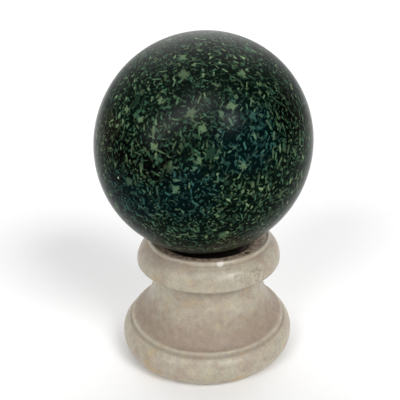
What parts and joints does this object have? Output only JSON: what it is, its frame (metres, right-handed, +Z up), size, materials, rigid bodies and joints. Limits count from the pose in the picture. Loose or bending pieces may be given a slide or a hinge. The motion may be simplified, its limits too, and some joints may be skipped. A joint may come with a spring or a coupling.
{
  "type": "decorative sphere",
  "caption": "Polished dark green porphyry ball that rests loosely in the sunk seat of a turned, warm off-white marble socle.",
  "frame": {"origin": "centre of the socle's round underside, on the surface it stands on and straight below the ball's centre", "axes": "+Z up through the ball's centre; +X to the right as seen from the front, the side the socle's cap leans to; +Y away from the viewer"},
  "size_m": [0.1196, 0.1188, 0.1886],
  "materials": {
    "green_porphyry": "gloss",
    "socle_marble": "satin"
  },
  "bodies": {
    "root": {"stone_ball": "green_porphyry", "marble_socle": "socle_marble"}
  },
  "joints": []
}
